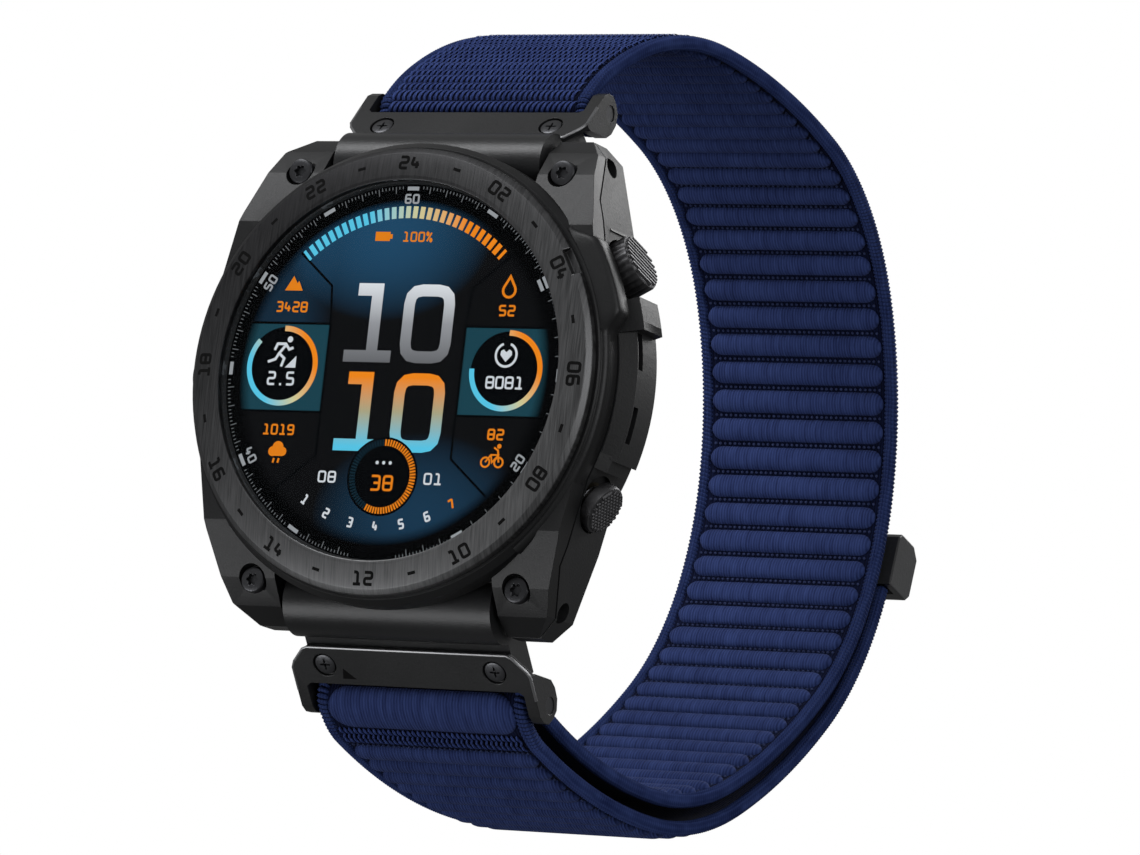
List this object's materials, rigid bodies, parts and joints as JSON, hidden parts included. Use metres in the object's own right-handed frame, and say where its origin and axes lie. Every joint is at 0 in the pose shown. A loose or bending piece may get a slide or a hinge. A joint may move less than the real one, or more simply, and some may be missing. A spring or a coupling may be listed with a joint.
{
  "type": "smartwatch on a nylon loop band",
  "caption": "Rugged round smartwatch on a ribbed hook-and-loop nylon band, with lug links, release latches, sprung side buttons and a peelable band end.",
  "frame": {"origin": "centre of the opening that the wrist goes through", "axes": "+Y from the dial through the wrist, the loop's longest way; +Z towards 12 o'clock; +X towards 3 o'clock"},
  "size_m": [0.0549, 0.1081, 0.0901],
  "materials": {
    "frame_coating": "satin",
    "case_polymer": "matte",
    "bezel_metal": "brushed",
    "screw_steel": "satin",
    "button_metal": "satin",
    "link_coating": "satin",
    "bare_steel": "satin",
    "bush_brass": "satin",
    "gold_contact": "polished",
    "cover_glass": "polished",
    "sensor_glass": "polished",
    "scale_black": "matte",
    "display": "polished",
    "inner_polymer": "matte",
    "board_green": "satin",
    "cell_foil": "satin",
    "black_rubber": "matte",
    "band_nylon": "woven",
    "hook_nylon": "hook pile",
    "tab_polymer": "satin"
  },
  "bodies": {
    "watch_head": {"top_frame": "frame_coating", "case_gasket": "black_rubber", "mid_case": "case_polymer", "bezel_ring": "bezel_metal", "bezel_screws": "screw_steel", "lens": "cover_glass", "lens_gasket": "black_rubber", "scale_ring": "scale_black", "display_panel": "display", "chassis": "inner_polymer", "main_board": "board_green", "battery_cell": "cell_foil", "vibration_motor": "bare_steel", "speaker_unit": "bare_steel", "back_cover": "case_polymer", "back_gasket": "black_rubber", "back_screws": "screw_steel", "sensor_window": "sensor_glass", "sensor_board": "board_green", "charge_contacts": "gold_contact", "side_guard": "case_polymer", "left_guard": "case_polymer", "button_bushes": "bush_brass", "button_seals": "black_rubber", "button_switches": "bare_steel", "spring_start": "bare_steel", "spring_back": "bare_steel", "spring_light": "bare_steel", "spring_up": "bare_steel", "spring_down": "bare_steel", "lug_pin_upper": "bare_steel", "lug_pin_lower": "bare_steel", "band_main": "band_nylon", "band_tail": "band_nylon"},
    "upper_link": {"link_body_upper": "link_coating", "link_plate_upper": "link_coating", "link_screws_upper": "screw_steel", "strap_bar_upper": "bare_steel", "latch_spring_upper": "bare_steel", "band_upper_end": "band_nylon"},
    "upper_latch": {"latch_upper": "bare_steel"},
    "lower_link": {"link_body_lower": "link_coating", "link_plate_lower": "link_coating", "link_screws_lower": "screw_steel", "strap_bar_lower": "bare_steel", "latch_spring_lower": "bare_steel", "band_lower_turn": "band_nylon"},
    "lower_latch": {"latch_lower": "bare_steel"},
    "start_button": {"button_start": "button_metal"},
    "back_button": {"button_back": "button_metal"},
    "light_button": {"button_light": "button_metal"},
    "up_button": {"button_up": "button_metal"},
    "down_button": {"button_down": "button_metal"},
    "tail_end": {"band_tail_tip": "band_nylon", "hook_patch": "hook_nylon", "end_tab": "tab_polymer"}
  },
  "joints": [
    {"name": "upper_link_hinge", "type": "hinge", "parent": "watch_head", "child": "upper_link", "pos_m": [0, -0.048, 0.0202], "axis": [1, 0, 0], "range_deg": [-8, 8], "stiffness_Nm_per_rad": 0.1, "deforming": ["band_upper_end"]},
    {"name": "lower_link_hinge", "type": "hinge", "parent": "watch_head", "child": "lower_link", "pos_m": [0, -0.048, -0.0282], "axis": [1, 0, 0], "range_deg": [-8, 8], "stiffness_Nm_per_rad": 0.1, "deforming": ["band_lower_turn"]},
    {"name": "upper_latch_slide", "type": "slide", "parent": "upper_link", "child": "upper_latch", "axis": [0, 0.6428, 0.766], "range_m": [0, 0.0015], "stiffness_N_per_m": 300, "deforming": ["latch_spring_upper"]},
    {"name": "lower_latch_slide", "type": "slide", "parent": "lower_link", "child": "lower_latch", "axis": [0, 0.6428, -0.766], "range_m": [0, 0.0015], "stiffness_N_per_m": 300, "deforming": ["latch_spring_lower"]},
    {"name": "start_press", "type": "slide", "parent": "watch_head", "child": "start_button", "axis": [-0.8746, 0, -0.4848], "range_m": [0, 0.0008], "stiffness_N_per_m": 400, "deforming": ["spring_start"]},
    {"name": "back_press", "type": "slide", "parent": "watch_head", "child": "back_button", "axis": [-0.8746, 0, 0.4848], "range_m": [0, 0.0008], "stiffness_N_per_m": 400, "deforming": ["spring_back"]},
    {"name": "light_press", "type": "slide", "parent": "watch_head", "child": "light_button", "axis": [0.8746, 0, -0.4848], "range_m": [0, 0.0008], "stiffness_N_per_m": 400, "deforming": ["spring_light"]},
    {"name": "up_press", "type": "slide", "parent": "watch_head", "child": "up_button", "axis": [1, 0, 0], "range_m": [0, 0.0008], "stiffness_N_per_m": 400, "deforming": ["spring_up"]},
    {"name": "down_press", "type": "slide", "parent": "watch_head", "child": "down_button", "axis": [0.8746, 0, 0.4848], "range_m": [0, 0.0008], "stiffness_N_per_m": 400, "deforming": ["spring_down"]},
    {"name": "tail_peel", "type": "hinge", "parent": "watch_head", "child": "tail_end", "pos_m": [0, 0.04067, -0.02211], "axis": [-1, 0, 0], "range_deg": [0, 70], "stiffness_Nm_per_rad": 0.01}
  ]
}
